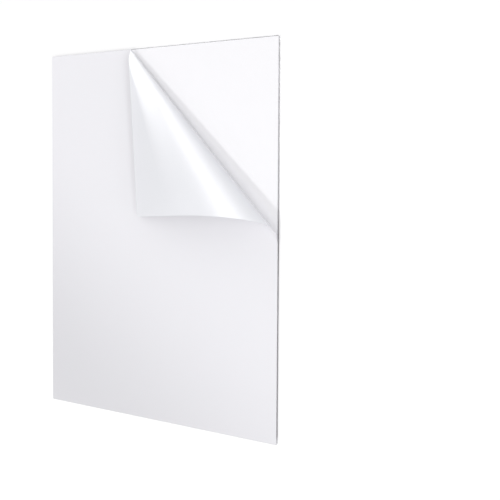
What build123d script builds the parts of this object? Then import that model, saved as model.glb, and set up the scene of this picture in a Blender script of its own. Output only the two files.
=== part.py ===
from build123d import *
from math import atan2, ceil, degrees, radians, sin, cos
import os

# Cut-to-size cast acrylic, 12 x 16 inches and 3 mm thick. It lies on its back face with the
# masked face up: +X runs across it, +Y along it and +Z up from the middle of the back face.
sheet_width = 304.8
sheet_length = 406.4
sheet_thickness = 3.0
corner_radius = 1.0
edge_break = 0.2  # arris scraped off both rims of the cut edge, through the film as well
film_thickness = 0.1

# The masking film is peeled from the +X +Y corner. Its contact line runs from one cut edge to
# the other, and these are the lengths of film that have come off along each of them.
peel_along_top = 186.2
peel_down_side = 206.7

# Film bends without stretching, so the free part is cones with one common apex, which lies on
# the contact line produced past the top edge: a tight roll, a loose one and then a flat tip.
apex_past_top = 14.2
tight_half_angle = 2.05
tight_turn = 128.0
loose_half_angle = 16.5
corner_lift = 5.0  # height at which the free corner hangs over the sheet's face
section_step = 8.0  # degrees of turn from one cross-section of a roll to the next


def rolled(ruling, normal, half_angle, turn):
    """A ruling of the film, and the film's normal there, after it has turned round a cone.

    A half-angle of 90 degrees is a flat stretch, where the turn is the angle at the apex.
    """
    tilt = radians(half_angle)
    axis = Axis((0, 0, 0), ruling * cos(tilt) + normal * sin(tilt))
    return ruling.rotate(axis, turn), normal.rotate(axis, turn)


def opened(half_angle, turn):
    """The angle at the apex that a turn round a cone takes up in the flat film."""
    return turn * sin(radians(half_angle))


# Plan view of the peel, with the film still flat on the sheet's face.
film_width = sheet_width - 2 * edge_break
film_length = sheet_length - 2 * edge_break
right, top = film_width / 2, film_length / 2
contact_top = Vector(right - peel_along_top, top, sheet_thickness)
contact_side = Vector(right, top - peel_down_side, sheet_thickness)
contact = (contact_side - contact_top).normalized()
apex = contact_top + contact * (apex_past_top / contact.Y)
to_corner = Vector(right, top, sheet_thickness) - apex
up = Vector(0, 0, 1)
tip_end = degrees(atan2(to_corner.Y, to_corner.X) - atan2(contact.Y, contact.X))


def flat_ruling(angle):
    """Direction of the ruling that leaves the apex at this angle to the contact line."""
    return contact.rotate(Axis((0, 0, 0), up), angle)


def corner_height(loose_turn):
    """Height of the free corner over the sheet's face once the loose roll has turned so far."""
    ruling, normal = rolled(contact, up, tight_half_angle, tight_turn)
    ruling, normal = rolled(ruling, normal, loose_half_angle, loose_turn)
    used = opened(tight_half_angle, tight_turn) + opened(loose_half_angle, loose_turn)
    return to_corner.length * rolled(ruling, normal, 90, tip_end - used)[0].Z


# The loose roll turns until the corner has come down to its lift: found by halving.
tight_end = opened(tight_half_angle, tight_turn)
low, high = 0.0, (tip_end - tight_end) / opened(loose_half_angle, 1)
for halving in range(50):
    middle = (low + high) / 2
    low, high = (middle, high) if corner_height(middle) > corner_lift else (low, middle)
loose_turn = low
loose_end = tight_end + opened(loose_half_angle, loose_turn)


def cross_section(ruling, normal, angle):
    """Section of the film along one ruling, from its top edge to its side edge."""
    flat = flat_ruling(angle)
    near = apex + ruling * ((top - apex.Y) / flat.Y)
    far = apex + ruling * ((right - apex.X) / flat.X)
    skin = normal * film_thickness
    return Wire.make_polygon([near, far, far + skin, near + skin])


def roll(ruling, normal, start, half_angle, turn):
    """The film round one cone, lofted through its sections, with the ruling it ends on."""
    count = ceil(turn / section_step)
    sections = []
    for step in range(count + 1):
        part = turn * step / count
        at = rolled(ruling, normal, half_angle, part)
        sections.append(cross_section(*at, start + opened(half_angle, part)))
    return Solid.make_loft(sections), *rolled(ruling, normal, half_angle, turn)


def beyond(angle):
    """Everything on the free corner's side of the ruling at this angle in the flat film."""
    reach = sheet_width + sheet_length
    plane = Plane(apex, x_dir=flat_ruling(angle), z_dir=up)
    return plane * Box(2 * reach, reach, reach, align=(Align.CENTER, Align.MIN, Align.CENTER))


# The clear sheet, with its corners eased and both rims scraped.
acrylic_sheet = extrude(RectangleRounded(sheet_width, sheet_length, corner_radius), sheet_thickness)
rims = acrylic_sheet.faces().sort_by(Axis.Z)
acrylic_sheet = chamfer(rims[0].edges() + rims[-1].edges(), edge_break)

# The film: its attached part and its tip are pieces of the flat film, which was cut to the
# sheet's outline along with it, and the two rolls join them.
outline = RectangleRounded(film_width, film_length, corner_radius - edge_break)
flat_film = Pos(0, 0, sheet_thickness) * extrude(outline, film_thickness)
attached = flat_film - beyond(0)
tight_roll, ruling, normal = roll(contact, up, 0, tight_half_angle, tight_turn)
loose_roll, ruling, normal = roll(ruling, normal, tight_end, loose_half_angle, loose_turn)
flat_tip = Plane(apex, x_dir=flat_ruling(loose_end), z_dir=up).to_local_coords(
    flat_film & beyond(loose_end)
)
tip = Plane(apex, x_dir=ruling, z_dir=normal).from_local_coords(flat_tip)
protective_film = attached + tight_roll + loose_roll + tip

print("loose roll turns", round(loose_turn, 2), "degrees, flat tip", round(tip_end - loose_end, 2))

os.makedirs("parts", exist_ok=True)
for name, piece in (("acrylic_sheet", acrylic_sheet), ("protective_film", protective_film)):
    export_step(piece, f"parts/{name}.step")
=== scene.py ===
"""A clear acrylic sheet with its protective film half peeled: its finishes, film, light and camera."""

from math import atan2, ceil, cos, radians, sin

import bmesh
import bpy
from bpy.props import FloatProperty, FloatVectorProperty, IntProperty, PointerProperty
from mathutils import Matrix, Quaternion, Vector


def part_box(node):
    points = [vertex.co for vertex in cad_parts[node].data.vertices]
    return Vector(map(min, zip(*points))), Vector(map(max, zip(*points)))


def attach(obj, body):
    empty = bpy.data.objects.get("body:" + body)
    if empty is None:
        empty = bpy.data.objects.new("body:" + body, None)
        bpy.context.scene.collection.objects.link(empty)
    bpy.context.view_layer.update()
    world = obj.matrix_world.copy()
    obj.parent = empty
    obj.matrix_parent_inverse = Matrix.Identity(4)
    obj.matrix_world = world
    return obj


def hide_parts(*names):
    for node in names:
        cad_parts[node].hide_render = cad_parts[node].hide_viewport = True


bl_info = {
    "name": "Peeled Acrylic Sheet",
    "version": (1, 0, 0),
    "blender": (4, 5, 0),
    "location": "3D View > Sidebar > Acrylic",
    "description": "Finishes a clear acrylic sheet and curls back its half-peeled film",
    "category": "Object",
}

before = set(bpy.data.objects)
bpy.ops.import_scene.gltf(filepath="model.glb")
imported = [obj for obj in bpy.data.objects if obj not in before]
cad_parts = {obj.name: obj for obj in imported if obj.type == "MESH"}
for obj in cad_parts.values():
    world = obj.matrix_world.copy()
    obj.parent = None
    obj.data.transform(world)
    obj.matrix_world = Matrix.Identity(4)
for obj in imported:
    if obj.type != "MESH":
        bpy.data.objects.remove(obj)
# Both pieces are centred on the origin in X and Y, so a highest corner gives half a width and
# half a length, and the height of a top face.
SHEET_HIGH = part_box("acrylic_sheet")[1]
FILM_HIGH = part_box("protective_film")[1]
WHITE = (1.0, 1.0, 1.0, 1.0)


class ClearSheetSettings(bpy.types.PropertyGroup):
    """Colours, painted edge shade and polish of the clear sheet"""

    clear_tint: FloatVectorProperty(
        name="Clear Tint",
        description="Tint that light takes on its way through the faces",
        subtype="COLOR",
        size=3,
        min=0.0,
        max=1.0,
        default=(0.992, 0.99, 1.0),
    )
    # The edge colour is partly the edge's own tint and partly painted shade for the dark line along it
    edge_tint_and_shade: FloatVectorProperty(
        name="Edge Tint",
        description="Colour of the cut edges, where light has come through the sheet's whole width",
        subtype="COLOR",
        size=3,
        min=0.0,
        max=1.0,
        default=(0.75, 0.75, 0.765),
    )
    # Painted shade: this dark colour on the rims stands for the light that they bend away from the eye
    rim_painted_shade: FloatVectorProperty(
        name="Rim Tint",
        description="Colour of the scraped rims, which bend most of the light away from the eye",
        subtype="COLOR",
        size=3,
        min=0.0,
        max=1.0,
        default=(0.16, 0.16, 0.165),
    )
    edge_roughness: FloatProperty(
        name="Edge Roughness",
        description="Roughness that the saw leaves on the cut edges",
        subtype="FACTOR",
        min=0.0,
        max=1.0,
        default=0.6,
    )
    # The band reaches a little way onto the faces too, and its grey there is painted shade
    edge_band: FloatProperty(
        name="Edge Band",
        description="How far in from the outline the cut edge's finish reaches",
        subtype="DISTANCE",
        unit="LENGTH",
        min=0.0,
        default=0.00075,
    )
    # The rim is a band along each face that carries painted shade
    arris: FloatProperty(
        name="Arris",
        description="Height of the scraped rim along each face",
        subtype="DISTANCE",
        unit="LENGTH",
        min=0.0,
        default=0.0002,
    )


class PeeledFilmSettings(bpy.types.PropertyGroup):
    """Where the film comes off the sheet, how it curls, and its colours"""

    peel_along_top: FloatProperty(
        name="Peel Along Top",
        description="Length of film that has come off along the top edge",
        subtype="DISTANCE",
        unit="LENGTH",
        min=0.02,
        default=0.1862,
    )
    peel_down_side: FloatProperty(
        name="Peel Down Side",
        description="Length of film that has come off along the right edge",
        subtype="DISTANCE",
        unit="LENGTH",
        min=0.02,
        default=0.2067,
    )
    apex_past_top: FloatProperty(
        name="Apex Past Top",
        description="How far past the top edge the rulings of the curl meet",
        subtype="DISTANCE",
        unit="LENGTH",
        min=0.001,
        default=0.0142,
    )
    tight_half_angle: FloatProperty(
        name="Tight Half-Angle",
        description="Half-angle of the cone that the film rolls round first",
        subtype="ANGLE",
        unit="ROTATION",
        default=radians(2.05),
    )
    tight_turn: FloatProperty(
        name="Tight Turn",
        description="How far the film turns round the tight cone",
        subtype="ANGLE",
        unit="ROTATION",
        default=radians(128.0),
    )
    loose_half_angle: FloatProperty(
        name="Loose Half-Angle",
        description="Half-angle of the cone that the film rolls round next",
        subtype="ANGLE",
        unit="ROTATION",
        default=radians(16.5),
    )
    loose_turn: FloatProperty(
        name="Loose Turn",
        description="How far the film turns round the loose cone before its flat tip",
        subtype="ANGLE",
        unit="ROTATION",
        default=radians(74.28),
    )
    bends_per_turn: IntProperty(
        name="Bends Per Turn",
        description="Fold lines that a full turn of the curl is made of",
        min=12,
        default=144,
    )
    thickness: FloatProperty(
        name="Film Thickness",
        description="Thickness of the film",
        subtype="DISTANCE",
        unit="LENGTH",
        min=0.00002,
        default=0.0001,
    )
    corner_radius: FloatProperty(
        name="Corner Radius",
        description="Radius of the film's corners",
        subtype="DISTANCE",
        unit="LENGTH",
        min=0.0,
        default=0.0008,
    )
    tack_gap: FloatProperty(
        name="Tack Gap",
        description="Height of the tack between the sheet and the film",
        subtype="DISTANCE",
        unit="LENGTH",
        min=0.0,
        default=0.00002,
    )
    # The film's own colour, where no painted shade darkens it
    film_colour: FloatVectorProperty(
        name="Film Colour",
        description="Milky colour of the film where it is palest",
        subtype="COLOR",
        size=3,
        min=0.0,
        max=1.0,
        default=(0.9, 0.893, 0.93),
    )
    tack_colour: FloatVectorProperty(
        name="Tack Colour",
        description="Colour of the side that was stuck to the sheet",
        subtype="COLOR",
        size=3,
        min=0.0,
        max=1.0,
        default=(0.92, 0.927, 0.967),
    )
    # Painted shade: the colour that the film is darkened to towards one corner, for the light that falls
    # off there
    painted_shade_colour: FloatVectorProperty(
        name="Hazy Colour",
        description="Colour of the film towards the corner where it is haziest",
        subtype="COLOR",
        size=3,
        min=0.0,
        max=1.0,
        default=(0.718, 0.713, 0.742),
    )
    cover: FloatProperty(
        name="Cover",
        description="How much of what lies behind one layer of film it hides",
        subtype="FACTOR",
        min=0.0,
        max=1.0,
        default=0.96,
    )
    stuck_loss: FloatProperty(
        name="Stuck Loss",
        description="Share of the light that stuck film keeps from the sheet below it",
        subtype="FACTOR",
        min=0.0,
        max=1.0,
        default=0.3,
    )


class StudioSettings(bpy.types.PropertyGroup):
    """Light and viewpoint"""

    surround: FloatProperty(
        name="Surround",
        description="Strength of the plain white surround",
        min=0.0,
        default=0.525,
    )
    near_power: FloatProperty(
        name="Near Power",
        description="Power of the lamp before the bottom edge, which throws the curl's shadow",
        subtype="POWER",
        unit="POWER",
        min=0.0,
        default=28.5,
    )
    front_power: FloatProperty(
        name="Front Power",
        description="Power of the wide lamp before the bottom edge, which fills the curl's shade",
        subtype="POWER",
        unit="POWER",
        min=0.0,
        default=7.0,
    )
    top_power: FloatProperty(
        name="Top Power",
        description="Power of the wide lamp over the sheet",
        subtype="POWER",
        unit="POWER",
        min=0.0,
        default=6.0,
    )
    side_power: FloatProperty(
        name="Side Power",
        description="Power of the low lamp past the right edge, which shades the film left of the curl",
        subtype="POWER",
        unit="POWER",
        min=0.0,
        default=26.0,
    )
    ridge_power: FloatProperty(
        name="Ridge Power",
        description="Power of the lamp past the top edge, whose mirror image is the ridge along the curl",
        subtype="POWER",
        unit="POWER",
        min=0.0,
        default=32.0,
    )
    shoulder_power: FloatProperty(
        name="Shoulder Power",
        description="Power of the small lamp past the top left corner, which widens the ridge up there",
        subtype="POWER",
        unit="POWER",
        min=0.0,
        default=1.9,
    )
    camera_place: FloatVectorProperty(
        name="Camera Place",
        description="Where the camera stands over the sheet",
        subtype="XYZ",
        unit="LENGTH",
        size=3,
        default=(0.5252, 0.0689, 0.6812),
    )
    camera_turn: FloatVectorProperty(
        name="Camera Turn",
        description="How the camera is turned from looking straight down",
        subtype="EULER",
        unit="ROTATION",
        size=3,
        default=(radians(-1.838), radians(30.859), radians(0.395)),
    )
    lens: FloatProperty(
        name="Lens",
        description="Focal length in millimetres",
        min=1.0,
        default=56.54,
    )


def feed(tree, socket, value):
    """Give an input socket a value, or the output socket that feeds it."""
    if isinstance(value, bpy.types.NodeSocket):
        tree.links.new(value, socket)
    else:
        socket.default_value = value


def add(tree, kind, **inputs):
    """A shader node with inputs fed by name, with _ for a space, or by number, as in0 and in1."""
    node = tree.nodes.new(kind)
    for name, value in inputs.items():
        key = int(name[2:]) if name.startswith("in") else name.replace("_", " ")
        feed(tree, node.inputs[key], value)
    return node


def maths(tree, operation, first, second=0.0):
    """The output of a Math node on two values or sockets."""
    node = add(tree, "ShaderNodeMath", in0=first, in1=second)
    node.operation = operation
    return node.outputs[0]


def ramp(tree, value, low, high, to_low=0.0, to_high=1.0, smooth=True):
    """The output of a Map Range node, eased at both ends where smooth."""
    node = add(
        tree,
        "ShaderNodeMapRange",
        Value=value,
        From_Min=low,
        From_Max=high,
        To_Min=to_low,
        To_Max=to_high,
    )
    node.interpolation_type = "SMOOTHSTEP" if smooth else "LINEAR"
    return node.outputs["Result"]


def blend_colours(tree, factor, first, second):
    """The colour output of a Mix node: the first colour where the factor is 0."""
    node = tree.nodes.new("ShaderNodeMix")
    node.data_type = "RGBA"
    feed(tree, node.inputs[0], factor)
    for socket, colour in ((node.inputs[6], first), (node.inputs[7], second)):
        feed(tree, socket, colour if isinstance(colour, bpy.types.NodeSocket) else (*colour, 1.0))
    return node.outputs[2]


def letting_through(tree, shader, passed):
    """A shader that looks as given, and lets light of this colour pass on to other surfaces."""
    rays = tree.nodes.new("ShaderNodeLightPath")
    return add(
        tree,
        "ShaderNodeMixShader",
        in0=maths(tree, "MAXIMUM", rays.outputs["Is Shadow Ray"], rays.outputs["Is Diffuse Ray"]),
        in1=shader.outputs[0],
        in2=add(tree, "ShaderNodeBsdfTransparent", Color=(*passed, 1.0)).outputs[0],
    )


def fresh_material(name):
    """An empty node material, its tree and its output node."""
    material = bpy.data.materials.new(name)
    material.use_nodes = True
    tree = material.node_tree
    tree.nodes.clear()
    return material, tree, tree.nodes.new("ShaderNodeOutputMaterial")


def smudge_group():
    """Faint uneven roughness from handling, shared by the sheet and its film."""
    if "handling_smudges" in bpy.data.node_groups:
        return bpy.data.node_groups["handling_smudges"]
    clean_below, smudged_above = 0.45, 0.7  # of the noise, which lies about 0.5
    group = bpy.data.node_groups.new("handling_smudges", "ShaderNodeTree")
    for name, kind, default in (
        ("Vector", "NodeSocketVector", None),
        ("Scale", "NodeSocketFloat", 12.0),
        ("Clean", "NodeSocketFloat", 0.05),
        ("Smudged", "NodeSocketFloat", 0.12),
    ):
        socket = group.interface.new_socket(name, in_out="INPUT", socket_type=kind)
        if default is not None:
            socket.default_value = default
    group.interface.new_socket("Roughness", in_out="OUTPUT", socket_type="NodeSocketFloat")
    inner = group.nodes.new("NodeGroupInput")
    outer = group.nodes.new("NodeGroupOutput")
    noise = add(
        group,
        "ShaderNodeTexNoise",
        Vector=inner.outputs["Vector"],
        Scale=inner.outputs["Scale"],
        Detail=5.0,
    )
    patch = ramp(
        group,
        noise.outputs["Fac"],
        clean_below,
        smudged_above,
        inner.outputs["Clean"],
        inner.outputs["Smudged"],
    )
    group.links.new(patch, outer.inputs["Roughness"])
    return group


def smudged(tree, vector, scale, clean, dirty):
    """A roughness that the smudge group puts out."""
    node = tree.nodes.new("ShaderNodeGroup")
    node.node_tree = smudge_group()
    tree.links.new(vector, node.inputs["Vector"])
    for name, value in (("Scale", scale), ("Clean", clean), ("Smudged", dirty)):
        node.inputs[name].default_value = value
    return node.outputs["Roughness"]


def clear_acrylic(settings):
    """Polished, very slightly tinted faces, a sawn edge all round whose grey is partly painted shade, and
    its scraped rims, painted dark as shade.
    """
    band_end = settings.edge_band * 0.6  # the edge's finish and its painted shade are full up to here, then they fade
    rim_start, rim_end = settings.arris * 1.1, settings.arris * 0.9
    saw_mark_scale, scale_through = 1400.0, 0.05  # drawn out through the sheet's thickness
    smudge_scale, smudge_roughness = 9.0, 0.02
    passed = (0.96, 0.957, 0.97)  # what gets through of the light on its way to other surfaces

    material, tree, out = fresh_material("clear_acrylic")
    place = add(tree, "ShaderNodeTexCoord").outputs["Object"]
    parted = add(tree, "ShaderNodeSeparateXYZ", Vector=place)
    from_side = maths(tree, "SUBTRACT", SHEET_HIGH.x, maths(tree, "ABSOLUTE", parted.outputs["X"]))
    from_end = maths(tree, "SUBTRACT", SHEET_HIGH.y, maths(tree, "ABSOLUTE", parted.outputs["Y"]))
    inset = maths(tree, "MINIMUM", from_side, from_end)
    edge = ramp(tree, inset, settings.edge_band, band_end)
    height = parted.outputs["Z"]
    from_face = maths(tree, "MINIMUM", height, maths(tree, "SUBTRACT", SHEET_HIGH.z, height))
    # the rims along the faces, where the darkest painted shade goes
    rim = maths(tree, "MULTIPLY", edge, ramp(tree, from_face, rim_start, rim_end))

    drawn_out = add(tree, "ShaderNodeMapping", Vector=place, Scale=(1.0, 1.0, scale_through))
    saw_marks = add(
        tree,
        "ShaderNodeTexNoise",
        Vector=drawn_out.outputs[0],
        Scale=saw_mark_scale,
        Detail=3.0,
    )
    depth = maths(tree, "MULTIPLY", saw_marks.outputs["Fac"], edge)
    bump = add(tree, "ShaderNodeBump", Strength=0.25, Distance=0.0002, Height=depth)

    faces = smudged(tree, place, smudge_scale, 0.0, smudge_roughness)
    rough = maths(tree, "MAXIMUM", faces, maths(tree, "MULTIPLY", edge, settings.edge_roughness))
    # The edge's colour is partly its own tint and partly painted shade, and the shade is darkest on the
    # rims
    cut = blend_colours(tree, rim, settings.edge_tint_and_shade, settings.rim_painted_shade)
    plastic = add(
        tree,
        "ShaderNodeBsdfPrincipled",
        Base_Color=blend_colours(tree, edge, settings.clear_tint, cut),
        Roughness=rough,
        IOR=1.49,
        Transmission_Weight=1.0,
        Normal=bump.outputs[0],
    )
    sheet = letting_through(tree, plastic, passed)
    tree.links.new(sheet.outputs[0], out.inputs["Surface"])
    return material


def film_side(settings, name, colour, roughness, specular, stuck):
    """One side of milky polythene, faintly streaked along its length, with painted shade darkening it
    towards one corner.

    Where it is stuck it lets the light down to the sheet, and where it is loose it scatters it.
    """
    shade_across, shade_along = 0.545, 0.84  # direction in the flat film in which the painted shade fades
    unshaded_from, darkest_shade_at = 0.02, -0.23  # metres that way from the film's middle
    streak_scale, scale_along = 450.0, 0.02  # drawn out along the film's length
    smudge_scale, smudge_roughness = 15.0, 0.03

    material, tree, out = fresh_material(name)
    flat = add(tree, "ShaderNodeUVMap")
    flat.uv_map = "flat_film"
    place = flat.outputs["UV"]
    parted = add(tree, "ShaderNodeSeparateXYZ", Vector=place)
    slope = maths(
        tree,
        "ADD",
        maths(tree, "MULTIPLY", parted.outputs["X"], shade_across),
        maths(tree, "MULTIPLY", parted.outputs["Y"], shade_along),
    )
    # Painted shade, which darkens the film towards one corner
    painted_shade = ramp(tree, slope, unshaded_from, darkest_shade_at)

    drawn_out = add(tree, "ShaderNodeMapping", Vector=place, Scale=(1.0, scale_along, 1.0))
    streaks = add(
        tree,
        "ShaderNodeTexNoise",
        Vector=drawn_out.outputs[0],
        Scale=streak_scale,
        Detail=2.0,
    )
    bump = add(tree, "ShaderNodeBump", Strength=0.03, Distance=0.0002, Height=streaks.outputs["Fac"])
    inside = tree.nodes.new("ShaderNodeNewGeometry").outputs["Backfacing"]
    film = add(
        tree,
        "ShaderNodeBsdfPrincipled",
        Base_Color=blend_colours(tree, painted_shade, colour, settings.painted_shade_colour),
        Roughness=smudged(tree, place, smudge_scale, roughness, roughness + smudge_roughness),
        Specular_IOR_Level=specular,
        IOR=1.5,
        Alpha=maths(tree, "MULTIPLY", maths(tree, "SUBTRACT", 1.0, inside), settings.cover),
        Normal=bump.outputs[0],
    )
    if stuck:
        passed = 1.0 - settings.stuck_loss / 2  # light crosses both sides, and each keeps half
        film = letting_through(tree, film, (passed, passed, passed))
    tree.links.new(film.outputs[0], out.inputs["Surface"])
    return material


def seen_directly(tree):
    """1 for the rays that show a surface to the eye, by itself or through or in the sheet, else 0."""
    rays = tree.nodes.new("ShaderNodeLightPath")
    return maths(
        tree,
        "MAXIMUM",
        maths(tree, "MAXIMUM", rays.outputs["Is Camera Ray"], rays.outputs["Is Glossy Ray"]),
        rays.outputs["Is Transmission Ray"],
    )


def white_floor():
    """Floor that is plain white to the eye and in reflections, and still takes shadows.

    The lamps fall off away from the sheet, and the floor's own glow makes up for that.
    """
    pale_grey = (0.8, 0.8, 0.8, 1.0)
    near, far = 0.5, 2.5  # metres from the sheet's middle, between which the glow grows
    near_glow, far_glow = 0.28, 0.7

    material, tree, out = fresh_material("white_floor")
    matt = add(tree, "ShaderNodeBsdfDiffuse", Color=pale_grey)
    place = add(tree, "ShaderNodeTexCoord").outputs["Object"]
    distance = add(tree, "ShaderNodeVectorMath", in0=place)
    distance.operation = "LENGTH"
    glow = ramp(tree, distance.outputs["Value"], near, far, near_glow, far_glow)
    strength = maths(tree, "MULTIPLY", seen_directly(tree), glow)
    lift = add(tree, "ShaderNodeEmission", Color=WHITE, Strength=strength)
    both = add(tree, "ShaderNodeAddShader", in0=matt.outputs[0], in1=lift.outputs[0])
    tree.links.new(both.outputs[0], out.inputs["Surface"])
    return material


def peel_lines(film):
    """The apex, contact direction and (angle at the apex, bend) of each fold line of the curl.

    Film bends without stretching, so all its fold lines are straight and meet at the apex. Each
    cone takes up its turn times the sine of its half-angle in the flat film, and bends it by the
    turn times the cosine.
    """
    right, top = FILM_HIGH.x, FILM_HIGH.y
    height = SHEET_HIGH.z + film.tack_gap
    contact_top = Vector((right - film.peel_along_top, top, height))
    contact_side = Vector((right, top - film.peel_down_side, height))
    contact = (contact_side - contact_top).normalized()
    apex = contact_top + contact * (film.apex_past_top / contact.y)
    folds, start = [], 0.0
    for half_angle, turn in (
        (film.tight_half_angle, film.tight_turn),
        (film.loose_half_angle, film.loose_turn),
    ):
        count = ceil(turn / radians(360) * film.bends_per_turn)
        opening, bend = turn * sin(half_angle), turn * cos(half_angle)
        folds += [(start + opening * (i + 0.5) / count, bend / count) for i in range(count)]
        start += opening
    return apex, contact, folds


class ACRYLIC_OT_clear_sheet(bpy.types.Operator):
    """Give the sheet its polished faces and sawn edges"""

    bl_idname = "acrylic.clear_sheet"
    bl_label = "Clear Sheet"

    def execute(self, context):
        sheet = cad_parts["acrylic_sheet"]
        material = clear_acrylic(context.scene.clear_sheet)
        for slot in sheet.material_slots:
            slot.material = material
        return {"FINISHED"}


class ACRYLIC_OT_peeled_film(bpy.types.Operator):
    """Cut the film to the sheet, fold it back line by line and give it its thickness"""

    bl_idname = "acrylic.peeled_film"
    bl_label = "Peeled Film"

    def execute(self, context):
        settings = context.scene.peeled_film
        apex, contact, folds = peel_lines(settings)
        half = Vector((FILM_HIGH.x, FILM_HIGH.y, 1.0))
        up = Vector((0, 0, 1))
        guard = 0.003  # radians kept flat before the first fold and after the last, for shading
        on_the_cut, past_the_fold = 1e-7, 1e-6  # tolerances in metres and in radians
        stuck_slot, loose_slot = 0, 2  # material slots of the face, each with the tack side's next
        matt_face, glossy_tack = (0.75, 0.25), (0.4, 0.5)  # roughness and specular level

        film = bmesh.new()
        bmesh.ops.create_grid(film, x_segments=1, y_segments=1, size=1.0)
        bmesh.ops.scale(film, verts=film.verts, vec=half)
        bmesh.ops.translate(film, verts=film.verts, vec=(0, 0, apex.z))
        bmesh.ops.bevel(
            film,
            geom=film.verts[:],
            affect="VERTICES",
            offset=settings.corner_radius,
            segments=4,
            profile=0.5,
            material=-1,
        )

        def line(angle):
            return Matrix.Rotation(angle, 3, up) @ contact

        cuts = [-guard, *[angle for angle, _ in folds], folds[-1][0] + guard]
        for angle in cuts:
            bmesh.ops.bisect_plane(
                film,
                geom=film.verts[:] + film.edges[:] + film.faces[:],
                dist=on_the_cut,
                plane_co=apex,
                plane_no=up.cross(line(angle)),
            )
        flat = film.loops.layers.uv.new("flat_film")
        for face in film.faces:
            for loop in face.loops:
                loop[flat].uv = loop.vert.co.xy

        def angle_at_apex(vertex):
            away = vertex.co - apex
            return atan2(contact.cross(away).z, contact.dot(away))

        flat_angle = {vertex: angle_at_apex(vertex) for vertex in film.verts}
        for angle, bend in reversed(folds):
            bmesh.ops.rotate(
                film,
                verts=[vertex for vertex in film.verts if flat_angle[vertex] > angle + past_the_fold],
                cent=apex,
                matrix=Matrix.Rotation(bend, 3, line(angle)),
            )
        tack = film.faces[:]
        for face in tack:
            free = max(flat_angle[vertex] for vertex in face.verts) > 0.0
            face.material_index = loose_slot if free else stuck_slot
        bmesh.ops.solidify(film, geom=tack, thickness=-settings.thickness)
        for face in tack:
            face.material_index += 1
        bmesh.ops.recalc_face_normals(film, faces=film.faces[:])
        # Solidify leaves the faces of the rim in another order each run, so all are put in order
        # of their middles, along a slanting direction in which no two of them tie.
        slant = Vector((1.0, 0.37, 0.11))
        film.faces.sort(key=lambda face: face.calc_center_median().dot(slant))
        for face in film.faces:
            face.smooth = True

        mesh = bpy.data.meshes.new("peeled_film")
        film.to_mesh(mesh)
        film.free()
        mesh.set_sharp_from_angle(angle=radians(40))
        for name, colour, finish, is_stuck in (
            ("stuck_film_face", settings.film_colour, matt_face, True),
            ("stuck_film_tack", settings.tack_colour, glossy_tack, True),
            ("loose_film_face", settings.film_colour, matt_face, False),
            ("loose_film_tack", settings.tack_colour, glossy_tack, False),
        ):
            mesh.materials.append(film_side(settings, name, colour, *finish, is_stuck))
        piece = bpy.data.objects.new("peeled_film", mesh)
        context.scene.collection.objects.link(piece)
        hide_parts("protective_film")
        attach(piece, "root")
        return {"FINISHED"}


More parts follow.
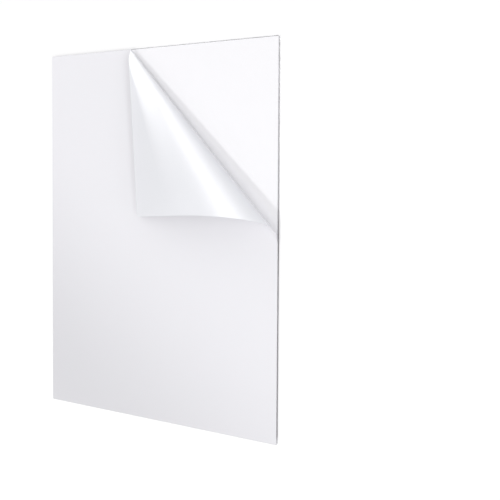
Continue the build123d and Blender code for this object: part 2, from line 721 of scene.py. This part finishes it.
class ACRYLIC_OT_studio(bpy.types.Operator):
    """Set out the white floor, the lamps and the camera"""

    bl_idname = "acrylic.studio"
    bl_label = "Studio"

    def execute(self, context):
        scene, settings = context.scene, context.scene.studio
        floor_radius, floor_drop = 6.0, 0.0001  # it lies just clear of the sheet's back face
        ground = bmesh.new()
        bmesh.ops.create_circle(ground, cap_ends=True, segments=64, radius=floor_radius)
        bmesh.ops.translate(ground, verts=ground.verts, vec=(0, 0, -floor_drop))
        mesh = bpy.data.meshes.new("floor")
        ground.to_mesh(mesh)
        ground.free()
        mesh.materials.append(white_floor())
        floor = bpy.data.objects.new("floor", mesh)
        scene.collection.objects.link(floor)

        world = bpy.data.worlds.new("white_surround")
        world.use_nodes = True
        scene.world = world
        tree = world.node_tree
        tree.nodes.clear()
        strength = ramp(tree, seen_directly(tree), 0.0, 1.0, settings.surround, 1.0, smooth=False)
        sky = add(tree, "ShaderNodeBackground", Color=WHITE, Strength=strength)
        tree.links.new(sky.outputs[0], tree.nodes.new("ShaderNodeOutputWorld").inputs["Surface"])

        # Each lamp is an ellipse of this width and height in metres, aimed at the sheet's middle
        # and rolled by so many degrees. The last two only make reflections: they light no matt
        # surface and don't shine through the sheet.
        for name, power, width, height, roll, place, lights_up in (
            ("near_lamp", settings.near_power, 0.24, 0.24, 0.0, (-0.832, -1.82, 2.5), True),
            ("front_lamp", settings.front_power, 1.6, 1.6, 0.0, (-1.0, -2.0, 1.6), True),
            ("top_lamp", settings.top_power, 1.8, 1.8, 0.0, (0.3, 0.3, 2.9), True),
            ("side_lamp", settings.side_power, 1.2, 1.2, 0.0, (2.8, -0.4, 1.24), True),
            ("ridge_lamp", settings.ridge_power, 0.8, 2.0, 46.0, (0.251, 1.297, 0.897), False),
            ("shoulder_lamp", settings.shoulder_power, 0.42, 0.14, 155.6, (-0.24, 0.328, 0.211), False),
        ):
            lamp = bpy.data.lights.new(name, "AREA")
            lamp.shape, lamp.size, lamp.size_y, lamp.energy = "ELLIPSE", width, height, power
            stand = bpy.data.objects.new(name, lamp)
            stand.location = place
            aim = (-Vector(place)).to_track_quat("-Z", "Y")
            stand.rotation_euler = (aim @ Quaternion((0, 0, 1), radians(roll))).to_euler()
            stand.visible_camera = False
            stand.visible_diffuse = stand.visible_transmission = lights_up
            scene.collection.objects.link(stand)

        camera = bpy.data.cameras.new("camera")
        camera.lens = settings.lens
        camera.sensor_width = 36.0
        camera.shift_y = -0.1  # the frame reaches further down from the lens's axis than up
        camera.clip_start, camera.clip_end = 0.01, 50.0
        viewer = bpy.data.objects.new("camera", camera)
        viewer.location = settings.camera_place
        viewer.rotation_euler = settings.camera_turn
        scene.collection.objects.link(viewer)
        scene.camera = viewer
        scene.view_settings.view_transform = "Standard"
        return {"FINISHED"}


class ACRYLIC_PT_sheet(bpy.types.Panel):
    """Everything that the acrylic sheet is made of"""

    bl_idname = "ACRYLIC_PT_sheet"
    bl_label = "Acrylic Sheet"
    bl_space_type = "VIEW_3D"
    bl_region_type = "UI"
    bl_category = "Acrylic"

    def draw(self, context):
        layout, scene = self.layout, context.scene
        for operator, settings in (
            (ACRYLIC_OT_clear_sheet, scene.clear_sheet),
            (ACRYLIC_OT_peeled_film, scene.peeled_film),
            (ACRYLIC_OT_studio, scene.studio),
        ):
            box = layout.box()
            for name in settings.__annotations__:
                box.prop(settings, name)
            box.operator(operator.bl_idname)


CLASSES = (
    ClearSheetSettings,
    PeeledFilmSettings,
    StudioSettings,
    ACRYLIC_OT_clear_sheet,
    ACRYLIC_OT_peeled_film,
    ACRYLIC_OT_studio,
    ACRYLIC_PT_sheet,
)


def register():
    for cls in CLASSES:
        bpy.utils.register_class(cls)
    bpy.types.Scene.clear_sheet = PointerProperty(type=ClearSheetSettings)
    bpy.types.Scene.peeled_film = PointerProperty(type=PeeledFilmSettings)
    bpy.types.Scene.studio = PointerProperty(type=StudioSettings)


def unregister():
    del bpy.types.Scene.studio, bpy.types.Scene.peeled_film, bpy.types.Scene.clear_sheet
    for cls in reversed(CLASSES):
        bpy.utils.unregister_class(cls)


def main():
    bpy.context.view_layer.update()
    register()
    bpy.ops.acrylic.clear_sheet()
    bpy.ops.acrylic.peeled_film()
    bpy.ops.acrylic.studio()


if __name__ == "__main__":
    main()
